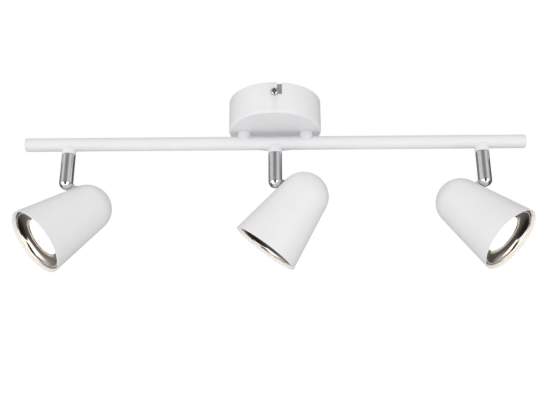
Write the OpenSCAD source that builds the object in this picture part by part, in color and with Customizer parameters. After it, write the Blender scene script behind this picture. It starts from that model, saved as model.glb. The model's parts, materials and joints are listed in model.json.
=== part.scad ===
// Three-spot ceiling bar light.
// Origin: centre of the canopy on the ceiling plane. +X along the bar, +Z up into the ceiling.
// A round canopy hangs on a ceiling bracket and carries the bar on two posts. Three heads hang
// from the bar. Each has a stem that pans about Z and a shade that tilts about the stem's pin.

/* [Canopy] */
// Outer diameter of the canopy cover
canopy_d = 82.5; // [78:0.5:90]
// Height of the canopy cover
canopy_h = 29; // [27:0.5:34]
// Sheet thickness of the canopy cover
canopy_wall = 1; // [0.8:0.1:1.5]
// Rounding of the canopy's lower edge
canopy_round = 2.2; // [1.5:0.1:3]
// Distance between the two posts
post_spacing = 55.5; // [50:0.5:58]

/* [Bar] */
// Length of the bar over its end caps
bar_len = 446; // [440:1:520]
// Outer diameter of the bar
bar_d = 12; // [12:0.1:12.4]
// Wall thickness of the bar
bar_wall = 1; // [0.8:0.1:1.2]
// Gap between the canopy and the top of the bar
bar_gap = 4; // [2.5:0.1:6]
// Distance from one head to the next
head_pitch = 184; // [170:1:190]

/* [Heads] */
// Pan angle of each head about the vertical, from +X: left, middle, right
pan = [-148.6, 170.6, -29.8];
// Tilt of each head below the horizontal: left, middle, right
tilt = [41.4, 52.8, 45.8];
// Diameter of the stem and of its ball end
stem_d = 12; // [12:0.1:12.2]
// Distance from the bar's axis down to the tilt pin
pin_drop = 37; // [36:0.5:44]
// Distance from the tilt pin to the shade's axis
axis_drop = 28.7; // [28.7:0.1:30]
// Distance from the tilt pin forward to the shade's rim
rim_reach = 54; // [53.5:0.1:56]
// Sideways offset of the shade's axis from the tilt plate
side_offset = -2.6; // [-3:0.1:0]

/* [Shade] */
// Outer diameter of the shade at its rim
rim_d = 60.4; // [60:0.1:60.8]
// Length of the shade from rim to dome
shade_len = 78.4; // [78:0.1:80.5]
// Length of the domed end
dome_len = 20.8; // [20.5:0.1:21.5]
// Diameter of the domed end where it meets the cone
dome_d = 42.8; // [42.5:0.1:43]
// Wall thickness of the shade
shade_wall = 1; // [0.9:0.1:1.1]
// Radius of the reflector's mouth
mouth_r = 28.05; // [27.5:0.05:28.1]
// Depth of the reflector's mouth inside the rim
mouth_depth = 2.8; // [2.5:0.1:3]
// Radius of the lit disc
disc_r = 17.3; // [16.5:0.1:17.5]
// Depth of the lit disc inside the rim
disc_depth = 8.7; // [8.5:0.1:9]

/* [Hidden] */
SIDES = ["left", "middle", "right"];
HEAD_PARTS = ["collar", "swivel_nipple", "swivel_nut", "friction_washer", "stem", "stem_lead",
              "pivot_pin", "tilt_plate", "shade", "reflector", "diffuser", "led_board",
              "heat_sink", "head_lead"];

LEFT = 0;
MIDDLE = 1;
RIGHT = 2;
PAINT = "white";
CHROME = "silver";
STEEL = "gainsboro";
eps = 0.01;
$fn = 48;

// canopy and bracket
canopy_r = canopy_d / 2;
floor_z = -canopy_h + canopy_wall;      // inside face of the canopy's floor
strip_t = 1.5;                          // bracket sheet
strip_w = 24;
tab_w = 16;
tab_y = canopy_r - canopy_wall - 1.05;  // outer face of each bracket tab
tab_bend = 2;
tab_drop = 15;
ceiling_hole_pitch = 56;
ceiling_slot_w = 4.6;
ceiling_slot_len = 12;
cable_hole_r = 6;
cable_bore_r = 4;
screw_r = 2;                            // M4 cover screws
screw_head_r = 3.4;
screw_head_h = 2.3;
screw_z = -9.4;
slot_w = 4.2;                           // bayonet slots in the cover's wall
slot_x = 4.3;                           // middle of the slot's upright leg

// driver and terminals inside the canopy
driver_size = [46, 22, 16.5];
driver_y = 20;
block_size = [26, 14, 12];
block_y = -14.2;
block_pitch = 8;
block_bore_r = 1.6;
terminal_r = 1.7;

// posts and bar
bar_r = bar_d / 2;
bar_z = -canopy_h - bar_gap - bar_r;
bore_r = bar_r - bar_wall;
cap_t = 1.8;
post_r = 6;
stud_r = 4;                             // M8 stud on each post
lead_bore_r = 2.6;
nut_t = 3.5;
nut_r = 7.5;                            // across corners / 2

// swivel under the bar
collar_r = 6.2;
collar_top = bar_z - 3.3;
collar_z = bar_z - 10.2;                // bottom face of the collar
collar_floor = 2;
cup_r = 4.3;
nipple_r = 2.5;
nipple_bore_r = 1.6;
run_fit = 0.05;                         // radial clearance of turning fits
washer_t = 0.4;
washer_r = 5.2;
swivel_nut_t = 2.4;
swivel_nut_r = 4.04;                    // 7 mm across flats
stem_top = collar_z - 2 * run_fit - washer_t;

// stem and knuckle
stem_r = stem_d / 2;
pin_z = bar_z - pin_drop;
pin_r = 1.5;
plate_t = 1.8;
fork_w = 2.0;                           // slot between the stem's cheeks
eye_r = 5;
fork_top = eye_r + 0.6;                 // height of the slot above the pin
lead_r = 1.1;

// shade
rim_r = rim_d / 2;
dome_r = dome_d / 2;
dome_s = shade_len - dome_len;          // station where the dome's widest circle lies
// the cone runs from the rim and touches the dome's ellipse at touch_a
flat_k = dome_len / dome_r;
touch_a = atan2(rim_r * flat_k, -dome_s)
        - acos(dome_len / norm([dome_s, rim_r * flat_k]));
dome_steps = 14;
rim_round = 0.4;

function arc(c, r, a0, a1, n) =
    [for (i = [0 : n]) let (a = a0 + (a1 - a0) * i / n) c + r * [cos(a), sin(a)]];
// outline of the shade, drawn in by t from its outer face: [radius, distance from the rim]
function dome_pts(t) =
    [for (i = [0 : dome_steps]) let (a = touch_a * (1 - i / dome_steps))
        [(dome_r - t) * sin(a), dome_s + (dome_len - t) * cos(a)]];
cone_slope = (rim_r - dome_r * sin(touch_a)) / (dome_s + dome_len * cos(touch_a));
function wall_r(s, t) = rim_r - cone_slope * s - t;

// optics and what cools them, as distances from the rim
reflector_t = 0.8;
disc_t = 1.6;
board_s = 11.5;
board_t = 1.5;
board_r = 19;
sink_s = board_s + board_t;
sink_flange = 2;
sink_len = 34;
sink_core_r = 7.5;
fin_r = 16;
fin_t = 1.2;
fins = 10;
lead_hole_r = 1.6;
lead_path_r = 12;                       // distance of the head's lead from the shade's axis

// foot of the tilt plate inside the shade, as distances forward of the pin
plate_front = 3.4;
plate_back = -8;
foot_t = 1.2;
foot_w = 7;
slot_play = 0.15;

stem_x = [-head_pitch, 0, head_pitch];

// ---- frames ----
// stands children at a head's stem, with +X turned to the way the head faces
module pan_frame(i) translate([stem_x[i], 0, 0]) rotate([0, 0, pan[i]]) children();
// puts the origin on the tilt pin, +X along the aim and +Z away from the shade
module tilt_frame(i) pan_frame(i) translate([0, 0, pin_z]) rotate([0, tilt[i], 0]) children();
// puts the origin at the rim's centre, +Z running back to the dome and +X away from the shade
module shade_frame(i)
    tilt_frame(i) translate([rim_reach, side_offset, -axis_drop]) rotate([0, -90, 0]) children();
module along_y() rotate([90, 0, 0]) children();

// ---- shared shapes ----
module round_rect(w, d, r) {
    square([w - 2 * r, d], center = true);
    square([w, d - 2 * r], center = true);
    for (x = [-1, 1], y = [-1, 1]) translate([x * (w / 2 - r), y * (d / 2 - r)]) circle(r);
}
module slot_cut(len, w, h) {
    translate([0, 0, -h / 2]) linear_extrude(h) {
        square([w, len - w], center = true);
        for (y = [-1, 1]) translate([0, y * (len - w) / 2]) circle(w / 2);
    }
}
// pan head screw with a cross recess: head up along +Z, its underside on z = 0
module pan_screw(head_r, head_h, shank_r, len, cross_w = 1.1, cross_l = 3.6) {
    difference() {
        rotate_extrude()
            polygon(concat([[0, -len], [shank_r - 0.3, -len], [shank_r, -len + 0.3], [shank_r, 0],
                            [head_r, 0], [head_r, head_h * 0.35]],
                           [for (a = [15 : 15 : 90])
                               [head_r * cos(a), head_h * (0.35 + 0.65 * sin(a))]]));
        for (a = [0, 90]) rotate([0, 0, a])
            translate([-cross_l / 2, -cross_w / 2, head_h - 1.3]) cube([cross_l, cross_w, 2]);
    }
}
// an insulated lead of radius r along route, with flat ends
function unit(v) = v / norm(v);
module lead(route, r = lead_r, sides = 8) {
    n = len(route);
    aside = unit([0.35, 0.85, 0.4]);
    rings = [for (i = [0 : n - 1])
        let (t = unit(route[min(i + 1, n - 1)] - route[max(i - 1, 0)]),
             u = unit(cross(t, aside)), v = cross(t, u))
        for (k = [0 : sides - 1]) route[i] + r * (cos(k * 360 / sides) * u
                                                  + sin(k * 360 / sides) * v)];
    walls = [for (i = [0 : n - 2], k = [0 : sides - 1])
        let (a = i * sides + k, b = i * sides + (k + 1) % sides) [a, a + sides, b + sides, b]];
    polyhedron(rings, concat([[for (k = [0 : sides - 1]) k]], walls,
                             [[for (k = [sides - 1 : -1 : 0]) (n - 1) * sides + k]]));
}
// solid inside of the shade, drawn in by t
module shade_solid(t) {
    rotate_extrude($fn = 96)
        polygon(concat([[0, -eps], [wall_r(0, t), -eps]], dome_pts(t)));
}

// ---- canopy ----
module canopy_cover() color(PAINT) {
    inner_round = canopy_round - canopy_wall;
    corner = [canopy_r - canopy_round, -canopy_h + canopy_round];
    difference() {
        rotate_extrude($fn = 96)
            polygon(concat([[0, -canopy_h]], arc(corner, canopy_round, -90, 0, 6),
                           [[canopy_r, 0], [canopy_r - canopy_wall, 0]],
                           arc(corner, inner_round, 0, -90, 6), [[0, floor_z]]));
        for (x = [-1, 1]) translate([x * post_spacing / 2, 0, -canopy_h - 1])
            cylinder(h = canopy_wall + 2, r = stud_r + run_fit);
        for (a = [0, 180]) rotate([0, 0, a]) bayonet_slot();
    }
}
module bayonet_slot() {
    low = screw_z - slot_w / 2;
    depth = 4;
    translate([slot_x - slot_w / 2, -canopy_r - 1, low]) cube([slot_w, depth, 1 - low]);
    translate([0, -canopy_r - 1, low]) cube([slot_x, depth, slot_w]);
    translate([0, -canopy_r - 1 + depth, screw_z]) along_y() cylinder(h = depth, r = slot_w / 2);
}
module ceiling_bracket() color(STEEL) {
    strip_end = tab_y - tab_bend;
    difference() {
        union() {
            translate([-strip_w / 2, -strip_end, -strip_t])
                cube([strip_w, 2 * strip_end, strip_t]);
            for (a = [0, 180]) rotate([0, 0, a]) bracket_tab(strip_end);
        }
        for (y = [-1, 1]) translate([0, y * ceiling_hole_pitch / 2, 0])
            slot_cut(ceiling_slot_len, ceiling_slot_w, 4);
        translate([0, 0, -3]) cylinder(h = 4, r = cable_hole_r);
        translate([strip_w / 2 - 4, 10, -3]) cylinder(h = 4, r = 1.5);
    }
}
module bracket_tab(strip_end) {
    difference() {
        rotate([90, 0, 90]) translate([0, 0, -tab_w / 2]) linear_extrude(tab_w)
            polygon(concat([[-strip_end + 1, 0]],
                           arc([-strip_end, -tab_bend], tab_bend, 90, 180, 6),
                           [[-tab_y, -tab_drop], [-tab_y + strip_t, -tab_drop]],
                           arc([-strip_end, -tab_bend], tab_bend - strip_t, 180, 90, 4),
                           [[-strip_end + 1, -strip_t]]));
        translate([0, -tab_y + 3, screw_z]) along_y() cylinder(h = 6, r = screw_r);
    }
}
module cover_screws() color(STEEL)
    for (a = [0, 180]) rotate([0, 0, a]) translate([0, -canopy_r - 0.02, screw_z])
        along_y() pan_screw(screw_head_r, screw_head_h, screw_r, 8);
module cable_grommet() color("dimgray")
    rotate_extrude() polygon([[cable_bore_r, 0], [cable_hole_r, 0], [cable_hole_r, -strip_t],
                              [cable_hole_r + 0.9, -strip_t], [cable_hole_r + 0.9, -strip_t - 1.2],
                              [cable_bore_r, -strip_t - 1.2]]);
module terminal_block() color("ivory") translate([0, block_y, -strip_t - block_size[2]])
    difference() {
        linear_extrude(block_size[2]) round_rect(block_size[0], block_size[1], 1.5);
        for (x = [-1 : 1]) {
            translate([x * block_pitch, block_size[1], block_size[2] * 0.4])
                along_y() cylinder(h = 2 * block_size[1], r = block_bore_r);
            for (y = [-1, 1]) translate([x * block_pitch, y * 3.5, -1])
                cylinder(h = block_size[2] * 0.4, r = terminal_r + 0.2);
        }
    }
module terminal_screws() color("goldenrod")
    for (x = [-1 : 1], y = [-1, 1])
        translate([x * block_pitch, block_y + y * 3.5, -strip_t - block_size[2] + 0.5])
            difference() {
                cylinder(h = 2.4, r = terminal_r);
                translate([-terminal_r - 1, -0.25, -1]) cube([2 * terminal_r + 2, 0.5, 1.7]);
            }
module earth_screw() color("goldenrod")
    translate([strip_w / 2 - 4, 10, -strip_t]) mirror([0, 0, 1])
        pan_screw(2.9, 1.9, 1.5, strip_t, 0.9, 2.8);
module led_driver() color("whitesmoke") translate([0, driver_y, floor_z]) {
    linear_extrude(driver_size[2]) round_rect(driver_size[0], driver_size[1], 2);
    translate([0, 0, driver_size[2] - eps])
        linear_extrude(0.8) round_rect(driver_size[0] - 3, driver_size[1] - 3, 1);
}

// ---- posts and bar ----
module along_bar(len, r) translate([-len / 2, 0, bar_z]) rotate([0, 90, 0]) cylinder(h = len, r = r);
// the bar's own outer surface over a short length, to seat what sits on it
module bar_seat(x) translate([x, 0, 0]) along_bar(20, bar_r);
module post(x) color(PAINT) {
    stud_low = bar_z + bore_r - 0.4;
    difference() {
        union() {
            difference() {
                translate([x, 0, bar_z]) cylinder(h = -canopy_h - bar_z, r = post_r);
                bar_seat(x);
            }
            translate([x, 0, stud_low])
                cylinder(h = floor_z + nut_t + 1.5 - stud_low, r = stud_r);
        }
        translate([x, 0, stud_low - 1]) cylinder(h = 20, r = lead_bore_r);
    }
}
module post_left() post(-post_spacing / 2);
module post_right() post(post_spacing / 2);
module post_nuts() color(STEEL)
    for (x = [-1, 1]) translate([x * post_spacing / 2, 0, floor_z]) difference() {
        cylinder(h = nut_t, r = nut_r, $fn = 6);
        translate([0, 0, -1]) cylinder(h = nut_t + 2, r = stud_r);
    }
module bar_tube() color(PAINT) difference() {
    along_bar(bar_len - 2 * cap_t, bar_r);
    along_bar(bar_len, bore_r);
    for (x = [-1, 1]) translate([x * post_spacing / 2, 0, bar_z]) cylinder(h = 10, r = stud_r);
    for (x = stem_x) translate([x, 0, bar_z - 10]) cylinder(h = 10, r = cup_r);
}
module end_cap(way) color(PAINT) translate([way * bar_len / 2, 0, bar_z]) rotate([0, -90 * way, 0])
    rotate_extrude()
        polygon(concat([[0, 0]], arc([bar_r - 0.6, 0.6], 0.6, -90, 0, 4),
                       [[bar_r, cap_t], [bore_r, cap_t], [bore_r, 8], [bore_r - 1, 8],
                        [bore_r - 1, cap_t], [0, cap_t]]));
module end_cap_left() end_cap(-1);
module end_cap_right() end_cap(1);
// leads from terminals to driver, and from driver through the posts and the bar to each head
module bar_leads() color("lightgray") {
    face_y = driver_y - driver_size[1] / 2;
    drop_z = bar_z - 4.6;
    post_x = post_spacing / 2;
    for (x = [-1, 1]) {
        lead([[x * 8, block_y + 7, -9], [x * 8, -4, -9.5], [x * 9, 1, -13], [x * 10, 4.5, -17.5],
              [x * 10, 7, -19.6], [x * 10, face_y, -19.6]]);
        lead([[x * 18, face_y, -18], [x * 18, 7, -18], [x * 20, 4.5, -15.5], [x * 24, 1, -12.5],
              [x * 27.3, -1.2, -13.5],
              [x * post_x, -1.2, -18], [x * post_x, -1.2, bar_z + 3], [x * (post_x + 5), -1, bar_z],
              [x * (post_x + 14), 0, bar_z], [x * (head_pitch - 8), 0, bar_z],
              [x * (head_pitch - 1.5), 0, bar_z - 1.6], [x * head_pitch, 0, bar_z - 3],
              [x * head_pitch, 0, drop_z]]);
    }
    lead([[14, face_y, -22], [14, 7.2, -22], [18, 6.2, -21.2], [26, 4.5, -17.5], [post_x, 1.6, -16.5],
          [post_x, 1.3, -20], [post_x, 1.3, bar_z + 3], [post_x - 5, 1.2, bar_z], [post_x - 14, 0, bar_z],
          [8, 0, bar_z], [1.5, 0, bar_z - 1.6], [0, 0, bar_z - 3], [0, 0, drop_z]]);
}

// ---- swivel: turns with the stem, except for the collar ----
module collar(i) color(PAINT) translate([stem_x[i], 0, 0]) difference() {
    translate([0, 0, collar_z]) cylinder(h = collar_top - collar_z, r = collar_r);
    bar_seat(0);
    translate([0, 0, collar_z + collar_floor]) cylinder(h = 20, r = cup_r);
    translate([0, 0, collar_z - 1]) cylinder(h = 20, r = nipple_r + run_fit);
}
module swivel_nipple(i) color(STEEL) pan_frame(i) difference() {
    translate([0, 0, stem_top - 8]) cylinder(h = collar_z + collar_floor + 3.2 - stem_top + 8,
                                             r = nipple_r);
    translate([0, 0, stem_top - 9]) cylinder(h = 20, r = nipple_bore_r);
}
module swivel_nut(i) color(STEEL) pan_frame(i)
    translate([0, 0, collar_z + collar_floor + run_fit]) difference() {
        cylinder(h = swivel_nut_t, r = swivel_nut_r, $fn = 6);
        translate([0, 0, -1]) cylinder(h = swivel_nut_t + 2, r = nipple_r);
    }
module friction_washer(i) color("white") pan_frame(i) translate([0, 0, stem_top]) difference() {
    cylinder(h = washer_t, r = washer_r);
    translate([0, 0, -1]) cylinder(h = washer_t + 2, r = nipple_r);
}

// ---- stem and knuckle ----
module stem(i) color(CHROME) pan_frame(i) difference() {
    union() {
        rotate_extrude() polygon([[0, pin_z], [stem_r, pin_z], [stem_r, stem_top - 0.4],
                                  [stem_r - 0.4, stem_top], [0, stem_top]]);
        translate([0, 0, pin_z]) intersection() {
            sphere(r = stem_r);
            translate([0, 0, -stem_r]) cube(2 * stem_r + 2, center = true);
        }
    }
    translate([0, 0, stem_top - 8]) cylinder(h = 20, r = nipple_r);
    translate([0, 0, pin_z + fork_top - 1]) cylinder(h = 40, r = nipple_bore_r + 0.4);
    translate([-10, -fork_w / 2, pin_z - 10]) cube([20, fork_w, 10 + fork_top]);
    translate([0, 10, pin_z]) along_y() cylinder(h = 20, r = pin_r);
}
module stem_lead(i) color("white") pan_frame(i)
    translate([0, 0, pin_z + fork_top + 0.3])
        cylinder(h = bar_z - 5 - pin_z - fork_top - 0.3, r = lead_r);
module pivot_pin(i) color(CHROME) pan_frame(i) translate([0, 0, pin_z]) intersection() {
    translate([0, 10, 0]) along_y() cylinder(h = 20, r = pin_r);
    sphere(r = stem_r - 0.05);
}
// a flat plate: an eye on the pin, a neck through the shade's slot, a curved foot inside
module tilt_plate(i) color(CHROME) difference() {
    union() {
        difference() {
            tilt_frame(i) translate([0, plate_t / 2, 0]) along_y() linear_extrude(plate_t) {
                circle(eye_r);
                polygon([[4.6, -1.9], [plate_front, -6], [plate_front, -13], [plate_back, -15],
                         [plate_back, -8], [-7.3, -7.2], [-5.2, -6.5], [-4.7, -1.6]]);
            }
            shade_frame(i) shade_solid(shade_wall + foot_t);
        }
        shade_frame(i) intersection() {
            difference() {
                shade_solid(shade_wall);
                shade_solid(shade_wall + foot_t);
            }
            translate([10, -side_offset - plate_t / 2, rim_reach - plate_front])
                cube([20, foot_w, plate_front - plate_back]);
        }
    }
    tilt_frame(i) translate([0, 10, 0]) along_y() cylinder(h = 20, r = pin_r + run_fit);
}

// ---- shade and light ----
module shade(i) color(PAINT) shade_frame(i) difference() {
    outer = concat([[rim_r - rim_round, 0], [rim_r, rim_round]], dome_pts(0));
    inner = concat(dome_pts(shade_wall), [[wall_r(0, shade_wall) + 0.1, 0]]);
    rotate_extrude($fn = 96)
        polygon(concat(outer, [for (k = [0 : dome_steps]) inner[dome_steps - k]],
                       [inner[dome_steps + 1]]));
    translate([10, -side_offset - plate_t / 2 - slot_play, rim_reach - plate_front - slot_play])
        cube([20, plate_t + 2 * slot_play, plate_front - plate_back + 2 * slot_play]);
}
// elliptical dish from the mouth down to the lit disc, and a rim that grips the shade's wall
module reflector(i) color(CHROME) shade_frame(i) rotate_extrude($fn = 96) {
    depth = disc_depth - mouth_depth;
    inner_r = disc_r + 0.1;
    dish = [for (a = [0 : 10 : 90])
        [inner_r + (mouth_r - inner_r) * cos(a), mouth_depth + depth * sin(a)]];
    back = [for (a = [90 : -10 : 10])
        [inner_r + (mouth_r + reflector_t - inner_r) * cos(a),
         mouth_depth + (depth + reflector_t) * sin(a)]];
    grip_r = wall_r(mouth_depth + 1.5, shade_wall) - 0.05;
    polygon(concat(dish, back, [[grip_r, mouth_depth + 1.5], [grip_r, mouth_depth]]));
}
module diffuser(i) color("ivory") shade_frame(i) rotate_extrude()
    polygon([[0, disc_depth - 0.4], [disc_r * 0.6, disc_depth - 0.25], [disc_r, disc_depth],
             [disc_r, disc_depth + reflector_t + 0.05], [disc_r + 1.2, disc_depth + reflector_t + 0.05],
             [disc_r + 1.2, disc_depth + reflector_t + disc_t - 0.6], [0, disc_depth + disc_t]]);
module led_board(i) color("gainsboro") shade_frame(i) {
    translate([0, 0, board_s]) difference() {
        cylinder(h = board_t, r = board_r);
        translate([lead_path_r, 0, -1]) cylinder(h = board_t + 2, r = lead_hole_r);
    }
    for (k = [0 : 5]) rotate([0, 0, 60 * k + 30]) translate([6.8, -1.4, board_s - 0.7])
        cube([2.8, 2.8, 0.7 + eps]);
}
module heat_sink(i) color("darkgray") shade_frame(i) difference() {
    union() {
        rotate_extrude()
            polygon([[0, sink_s], [wall_r(sink_s, shade_wall) - 0.1, sink_s],
                     [wall_r(sink_s + sink_flange, shade_wall) - 0.1, sink_s + sink_flange],
                     [0, sink_s + sink_flange]]);
        translate([0, 0, sink_s + sink_flange - eps]) {
            cylinder(h = sink_len, r = sink_core_r);
            for (k = [0 : fins - 1]) rotate([0, 0, (k + 0.5) * 360 / fins])
                translate([sink_core_r - 0.5, -fin_t / 2, 0])
                    cube([fin_r - sink_core_r + 0.5, fin_t, sink_len]);
        }
    }
    translate([lead_path_r, 0, sink_s - 1]) cylinder(h = sink_flange + 2, r = lead_hole_r);
}
module head_lead(i) color("white") shade_frame(i)
    lead([[17.4, -1.6, rim_reach + 4], [15, -1.4, rim_reach + 1], [13, -0.6, rim_reach - 5],
          [lead_path_r, 0, rim_reach - 12], [lead_path_r, 0, sink_s + 6],
          [lead_path_r, 0, board_s + 0.2]]);

canopy_cover();
ceiling_bracket();
cover_screws();
cable_grommet();
terminal_block();
terminal_screws();
earth_screw();
led_driver();
post_left();
post_right();
post_nuts();
bar_tube();
end_cap_left();
end_cap_right();
bar_leads();

collar(LEFT);  // collar_left
swivel_nipple(LEFT);  // swivel_nipple_left
swivel_nut(LEFT);  // swivel_nut_left
friction_washer(LEFT);  // friction_washer_left
stem(LEFT);  // stem_left
stem_lead(LEFT);  // stem_lead_left
pivot_pin(LEFT);  // pivot_pin_left
tilt_plate(LEFT);  // tilt_plate_left
shade(LEFT);  // shade_left
reflector(LEFT);  // reflector_left
diffuser(LEFT);  // diffuser_left
led_board(LEFT);  // led_board_left
heat_sink(LEFT);  // heat_sink_left
head_lead(LEFT);  // head_lead_left

collar(MIDDLE);  // collar_middle
swivel_nipple(MIDDLE);  // swivel_nipple_middle
swivel_nut(MIDDLE);  // swivel_nut_middle
friction_washer(MIDDLE);  // friction_washer_middle
stem(MIDDLE);  // stem_middle
stem_lead(MIDDLE);  // stem_lead_middle
pivot_pin(MIDDLE);  // pivot_pin_middle
tilt_plate(MIDDLE);  // tilt_plate_middle
shade(MIDDLE);  // shade_middle
reflector(MIDDLE);  // reflector_middle
diffuser(MIDDLE);  // diffuser_middle
led_board(MIDDLE);  // led_board_middle
heat_sink(MIDDLE);  // heat_sink_middle
head_lead(MIDDLE);  // head_lead_middle

collar(RIGHT);  // collar_right
swivel_nipple(RIGHT);  // swivel_nipple_right
swivel_nut(RIGHT);  // swivel_nut_right
friction_washer(RIGHT);  // friction_washer_right
stem(RIGHT);  // stem_right
stem_lead(RIGHT);  // stem_lead_right
pivot_pin(RIGHT);  // pivot_pin_right
tilt_plate(RIGHT);  // tilt_plate_right
shade(RIGHT);  // shade_right
reflector(RIGHT);  // reflector_right
diffuser(RIGHT);  // diffuser_right
led_board(RIGHT);  // led_board_right
heat_sink(RIGHT);  // heat_sink_right
head_lead(RIGHT);  // head_lead_right
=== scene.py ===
"""Looks for a ceiling bar light with three swivelling spot heads."""

import json
import math

import bmesh
import bpy
from mathutils import Matrix, Vector


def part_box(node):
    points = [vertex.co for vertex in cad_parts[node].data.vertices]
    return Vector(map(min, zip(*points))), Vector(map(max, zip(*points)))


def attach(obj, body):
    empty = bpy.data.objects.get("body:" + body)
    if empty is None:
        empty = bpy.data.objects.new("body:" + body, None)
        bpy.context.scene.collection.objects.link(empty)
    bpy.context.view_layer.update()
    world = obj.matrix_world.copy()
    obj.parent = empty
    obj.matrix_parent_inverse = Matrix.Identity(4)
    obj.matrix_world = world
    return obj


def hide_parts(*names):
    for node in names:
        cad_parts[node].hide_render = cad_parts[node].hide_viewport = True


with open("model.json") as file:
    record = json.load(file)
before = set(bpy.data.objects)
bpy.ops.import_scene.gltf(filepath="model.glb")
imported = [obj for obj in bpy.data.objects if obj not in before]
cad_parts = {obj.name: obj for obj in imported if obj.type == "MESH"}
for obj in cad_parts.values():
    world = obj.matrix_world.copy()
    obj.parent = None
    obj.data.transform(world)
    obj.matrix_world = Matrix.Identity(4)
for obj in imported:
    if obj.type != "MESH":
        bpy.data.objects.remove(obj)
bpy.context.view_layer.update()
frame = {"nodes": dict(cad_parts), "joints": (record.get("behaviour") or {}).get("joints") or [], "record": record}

# ---------------------------------------------------------------- sizes, in metres
MM = 0.001
ON_AXIS = 0.0001 * MM               # a turned outline's points this near the axis are on it
SIDES = ("left", "middle", "right")

bar_lo, bar_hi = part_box("bar_tube")
BAR_R = (bar_hi[2] - bar_lo[2]) / 2
BAR_Z = (bar_hi[2] + bar_lo[2]) / 2
BAR_WALL = 1.0 * MM
CAP_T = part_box("end_cap_right")[1][0] - bar_hi[0]

canopy_lo, canopy_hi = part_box("canopy_cover")
CANOPY_R = canopy_hi[0]
CANOPY_Z = canopy_lo[2]
CANOPY_WALL = 1.0 * MM
CANOPY_ROUND = 2.2 * MM
RIM_EASE = 0.25 * MM

SLOT_W = 4.2 * MM
SLOT_X = 4.3 * MM
SCREW_Z = -9.4 * MM
SCREW_HEAD_R = 3.4 * MM
SCREW_HEAD_H = 2.3 * MM
SCREW_SHANK_R = 2.0 * MM

post_lo, post_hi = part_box("post_right")
POST_X = (post_lo[0] + post_hi[0]) / 2
POST_R = (post_hi[0] - post_lo[0]) / 2
STUD_R = 4.0 * MM
STUD_BORE_R = 2.6 * MM

COLLAR_R = 6.2 * MM
COLLAR_TOP = BAR_Z - 3.3 * MM
COLLAR_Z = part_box("collar_left")[0][2]
COLLAR_CUP_R = 4.3 * MM
COLLAR_FLOOR = 2.0 * MM
NIPPLE_HOLE_R = 2.55 * MM

STEM_R = 6.0 * MM
STEM_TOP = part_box("stem_left")[1][2]
STEM_BORE_R = 2.5 * MM
FORK_W = 2.0 * MM
FORK_TOP = 5.6 * MM
PIN_R = 1.5 * MM
PLATE_T = 1.8 * MM
EYE_R = 5.0 * MM

RIM_R = 30.2 * MM
RIM_SET_BACK = 0.11 * MM            # the rounded rim ends just short of the plain one
SHADE_LEN = 78.4 * MM
DOME_LEN = 20.8 * MM
DOME_R = 21.4 * MM
SHADE_WALL = 1.0 * MM
DOME_S = SHADE_LEN - DOME_LEN
# angle on the dome's ellipse where the straight cone touches it
ROUNDNESS = DOME_LEN / DOME_R
TOUCH = (math.atan2(RIM_R * ROUNDNESS, -DOME_S)
         - math.acos(DOME_LEN / math.hypot(DOME_S, RIM_R * ROUNDNESS)))

AXIS_DROP = 28.7 * MM
RIM_REACH = 54.0 * MM
SIDE_OFFSET = -2.6 * MM
PLATE_FRONT = 3.4 * MM
PLATE_BACK = -8.0 * MM
FOOT_T = 1.2 * MM
FOOT_W = 7.0 * MM

MOUTH_R = 28.05 * MM
MOUTH_DEPTH = 2.8 * MM
DISC_R = 17.3 * MM
DISC_DEPTH = 8.7 * MM
REFLECTOR_T = 0.8 * MM
BACK_SHARE = 0.93                   # how far out towards the mouth the dish's back goes
STRAIGHT_DOWN = 90.0                # tilt of a head that points straight down

FLOOR_Z = -0.55
FLOOR_REACH = 30.0

# light levels of the studio, where white is 1
ALL_ROUND_LIGHT = 0.87
FRONT_LIGHT = 0.34
LOW_LIGHT = 0.20
LEFT_LIGHT = 0.06
SOFTBOX_LIGHT = 1.7
GAP_LIGHT = 0.02
LAMP_GLOW = 3.2

# ---------------------------------------------------------------- where each head stands
joints = {joint["name"]: joint for joint in frame["joints"]}


def turned(degrees, axis):
    return Matrix.Rotation(math.radians(degrees), 4, axis)


def pan_frame(side):
    """Origin on the stem's tilt pin, +X the way the head faces, +Y along the pin."""
    tilt = joints[f"tilt_{side}"]
    pin = Vector(tilt["axis"]).normalized()
    ahead = Vector((pin.y, -pin.x, 0.0))
    turn = Matrix((ahead, pin, Vector((0, 0, 1)))).transposed().to_4x4()
    return Matrix.Translation(Vector(tilt["pos_m"])) @ turn


def tilt_frame(side):
    """As pan_frame, turned down by the head's tilt at rest: +X along the aim."""
    angle = STRAIGHT_DOWN - joints[f"tilt_{side}"]["range_deg"][1]
    return pan_frame(side) @ turned(angle, "Y")


def shade_frame(side):
    """Origin at the centre of the shade's rim, +Z running back to the dome."""
    place = Matrix.Translation((RIM_REACH, SIDE_OFFSET, -AXIS_DROP))
    return tilt_frame(side) @ place @ turned(-90, "Y")


# ---------------------------------------------------------------- node trees
class Tree:
    """Adds nodes to a node tree. An input may be a plain value or another node's socket."""

    def __init__(self, tree):
        self.tree = tree

    def add(self, kind, inputs=None, output=0, **props):
        node = self.tree.nodes.new(kind)
        for name, value in props.items():
            setattr(node, name, value)
        for key, value in (inputs or {}).items():
            self.feed(node.inputs[key], value)
        return node.outputs[output]

    def feed(self, socket, value):
        if isinstance(value, bpy.types.NodeSocket):
            self.tree.links.new(value, socket)
        else:
            socket.default_value = value

    def math(self, operation, a, b=0.0):
        return self.add("ShaderNodeMath", {0: a, 1: b}, operation=operation)

    def ramp(self, factor, stops):
        """A colour ramp through (place, colour) stops."""
        socket = self.add("ShaderNodeValToRGB", {"Fac": factor})
        ramp = socket.node.color_ramp
        while len(ramp.elements) < len(stops):
            ramp.elements.new(1.0)
        for element, (place, colour) in zip(ramp.elements, stops):
            element.position = place
            element.color = (*colour, 1.0)
        return socket


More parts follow.
